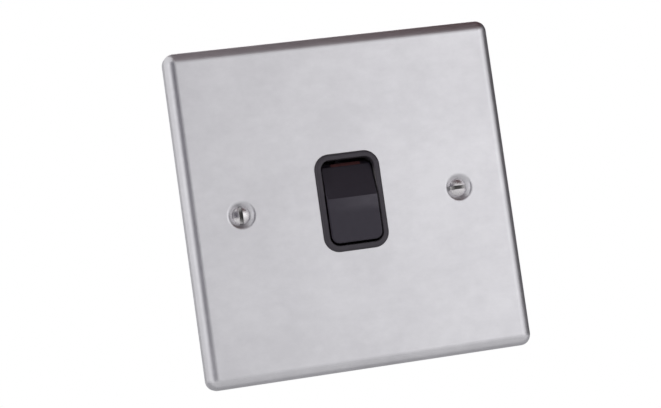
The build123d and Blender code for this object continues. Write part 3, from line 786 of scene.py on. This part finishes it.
# Studio: a round pale floor below the part, which fades into a white surround. Its underside
# lets the camera through, so that the part shows from below too.
WHITE = (1, 1, 1, 1)
FLOOR_GREY = (0.8, 0.8, 0.8, 1)
FLOOR_ROUGHNESS = 0.9
FLOOR_DROP = 0.12
FLOOR_RADIUS = 0.8
FLOOR_SIDES = 96
FLOOR_FADE = (0.12, 0.34)
WORLD_LEVEL = 0.85


def seen_directly(tree):
    """One for rays that show the background itself: camera, glossy and transmission rays."""
    path = add_node(tree, "ShaderNodeLightPath", {})
    total = path.outputs["Is Camera Ray"]
    for ray in ("Is Glossy Ray", "Is Transmission Ray"):
        total = reckon(tree, "MAXIMUM", total, path.outputs[ray])
    return total


pale_floor = new_finish("pale_floor", Base_Color=FLOOR_GREY, Roughness=FLOOR_ROUGHNESS)
floor_tree = pale_floor.node_tree
floor_place = add_node(floor_tree, "ShaderNodeTexCoord", {}).outputs["Object"]
floor_spot = add_node(
    floor_tree, "ShaderNodeVectorMath", {0: floor_place, 1: (0, 0, FLOOR_DROP)}, operation="ADD"
)
floor_reach = length_of(floor_tree, floor_spot.outputs["Vector"])
floor_fade = grade(floor_tree, floor_reach, *FLOOR_FADE, ease="SMOOTHSTEP")
floor_white = add_node(floor_tree, "ShaderNodeEmission", {"Color": WHITE, "Strength": 1.0})
floor_top = add_node(
    floor_tree,
    "ShaderNodeMixShader",
    {
        0: product(floor_tree, seen_directly(floor_tree), floor_fade),
        1: floor_tree.nodes["Principled BSDF"].outputs["BSDF"],
        2: floor_white.outputs["Emission"],
    },
)
floor_side = add_node(floor_tree, "ShaderNodeNewGeometry", {})
floor_clear = add_node(floor_tree, "ShaderNodeBsdfTransparent", {})
floor_mix = add_node(
    floor_tree,
    "ShaderNodeMixShader",
    {
        0: floor_side.outputs["Backfacing"],
        1: floor_top.outputs["Shader"],
        2: floor_clear.outputs["BSDF"],
    },
)
floor_surface = floor_tree.nodes["Material Output"].inputs["Surface"]
floor_tree.links.new(floor_mix.outputs["Shader"], floor_surface)
floor_mesh = bpy.data.meshes.new("floor")
floor_form = bmesh.new()
bmesh.ops.create_circle(floor_form, cap_ends=True, segments=FLOOR_SIDES, radius=FLOOR_RADIUS)
bmesh.ops.translate(floor_form, verts=floor_form.verts, vec=(0, 0, -FLOOR_DROP))
floor_form.to_mesh(floor_mesh)
floor_form.free()
floor_mesh.materials.append(pale_floor)
floor = bpy.data.objects.new("floor", floor_mesh)
bpy.context.scene.collection.objects.link(floor)

world = bpy.data.worlds.new("white_surround")
bpy.context.scene.world = world
world.use_nodes = True
world_tree = world.node_tree
soft = world_tree.nodes["Background"]
soft.inputs["Color"].default_value = WHITE
soft.inputs["Strength"].default_value = WORLD_LEVEL
white = add_node(world_tree, "ShaderNodeBackground", {"Color": WHITE, "Strength": 1.0})
surround = add_node(
    world_tree,
    "ShaderNodeMixShader",
    {0: seen_directly(world_tree), 1: soft.outputs["Background"], 2: white.outputs["Background"]},
)
world_surface = world_tree.nodes["World Output"].inputs["Surface"]
world_tree.links.new(surround.outputs["Shader"], world_surface)


# Lights: soft boxes round the part, and dark cards that only reflections see, as a studio hides
# what it doesn't want mirrored in metal.
CEILING = 0.42


def soft_box(name, place, size, watts, mirrored=True):
    """A flat lamp that faces the middle of the part, and that metal mirrors or not."""
    lamp = bpy.data.lights.new(name, "AREA")
    lamp.shape = "RECTANGLE"
    lamp.size, lamp.size_y = size
    lamp.energy = watts
    box = bpy.data.objects.new(name, lamp)
    way = Vector() - Vector(place)
    box.matrix_world = Matrix.Translation(place) @ way.to_track_quat("-Z", "Y").to_matrix().to_4x4()
    box.visible_glossy = mirrored
    bpy.context.scene.collection.objects.link(box)


def dark_card(name, corners, colour):
    """A card that shows in reflections, but is not seen itself and keeps no light off the part."""
    finish = new_finish(name, Base_Color=(*colour, 1), Roughness=1.0)
    mesh = bpy.data.meshes.new(name)
    mesh.from_pydata(corners, [], [(0, 1, 2, 3)])
    mesh.materials.append(finish)
    card = bpy.data.objects.new(name, mesh)
    card.visible_camera = False
    card.visible_diffuse = False
    card.visible_shadow = False
    bpy.context.scene.collection.objects.link(card)


def level(x, y, z):
    """The corners of a level card between pairs of limits along X and Y."""
    return [(x[0], y[0], z), (x[1], y[0], z), (x[1], y[1], z), (x[0], y[1], z)]


def upright(start, end, z):
    """The corners of a standing card over a line between two points."""
    return [(*start, z[0]), (*end, z[0]), (*end, z[1]), (*start, z[1])]


soft_box("front_right_box", place=(0.45, -0.75, 0.05), size=(0.5, 0.5), watts=0.5)
soft_box("rear_box", place=(0.2, 0.9, 0.3), size=(0.6, 0.6), watts=1.0)
soft_box("left_box", place=(-0.7, -0.2, 0.0), size=(0.3, 0.6), watts=0.2)
soft_box("left_fill", place=(-0.7, -0.3, 0.1), size=(0.5, 0.6), watts=2.2, mirrored=False)
dark_card(
    "top_left_card",
    level(x=(-0.15, 0.135), y=(-0.6, 0.6), z=CEILING),
    colour=(0.25, 0.213, 0.223),
)
dark_card(
    "top_right_card",
    level(x=(0.135, 0.7), y=(-0.75, 0.6), z=CEILING),
    colour=(0.09, 0.036, 0.036),
)
dark_card(
    "right_card",
    upright(start=(0.5, -0.2), end=(0.5, 0.75), z=(-0.45, 0.5)),
    colour=(0.1, 0.095, 0.1),
)
dark_card(
    "camera_card",
    upright(start=(-0.09, -0.5), end=(-0.5, -0.42), z=(-0.4, 0.4)),
    colour=(0.1, 0.092, 0.125),
)
dark_card(
    "rear_card",
    upright(start=(-0.5, 0.7), end=(0.2, 0.8), z=(-0.11, 0.36)),
    colour=(0.55, 0.55, 0.56),
)
dark_card(
    "low_card",
    level(x=(-0.5, 0.5), y=(-0.01, 0.7), z=-0.115),
    colour=(0.5, 0.5, 0.51),
)


# Camera: the part turned, tipped and rolled as the photograph shows it, then moved aside and
# stepped back. The long lens gives the photograph's slight perspective.
YAW, TIP, ROLL = radians(12.5), radians(-2.897), radians(8.044)
PAN = (4.429 * MM, 0.344 * MM)
DISTANCE = 488.18 * MM
FOCAL_LENGTH = 98.03
SENSOR_WIDTH = 36.0
NEAREST, FARTHEST = 0.01, 20.0

lens = bpy.data.cameras.new("photo_camera")
lens.sensor_width = SENSOR_WIDTH
lens.lens = FOCAL_LENGTH
lens.clip_start, lens.clip_end = NEAREST, FARTHEST
camera = bpy.data.objects.new("photo_camera", lens)
facing = Matrix.Rotation(-pi / 2, 4, "X")
turned = Matrix.Rotation(ROLL, 4, "Z") @ Matrix.Rotation(TIP, 4, "X") @ Matrix.Rotation(YAW, 4, "Y")
camera.matrix_world = (Matrix.Translation((*PAN, -DISTANCE)) @ turned @ facing).inverted()
bpy.context.scene.collection.objects.link(camera)
bpy.context.scene.camera = camera
bpy.context.scene.view_settings.view_transform = "Standard"
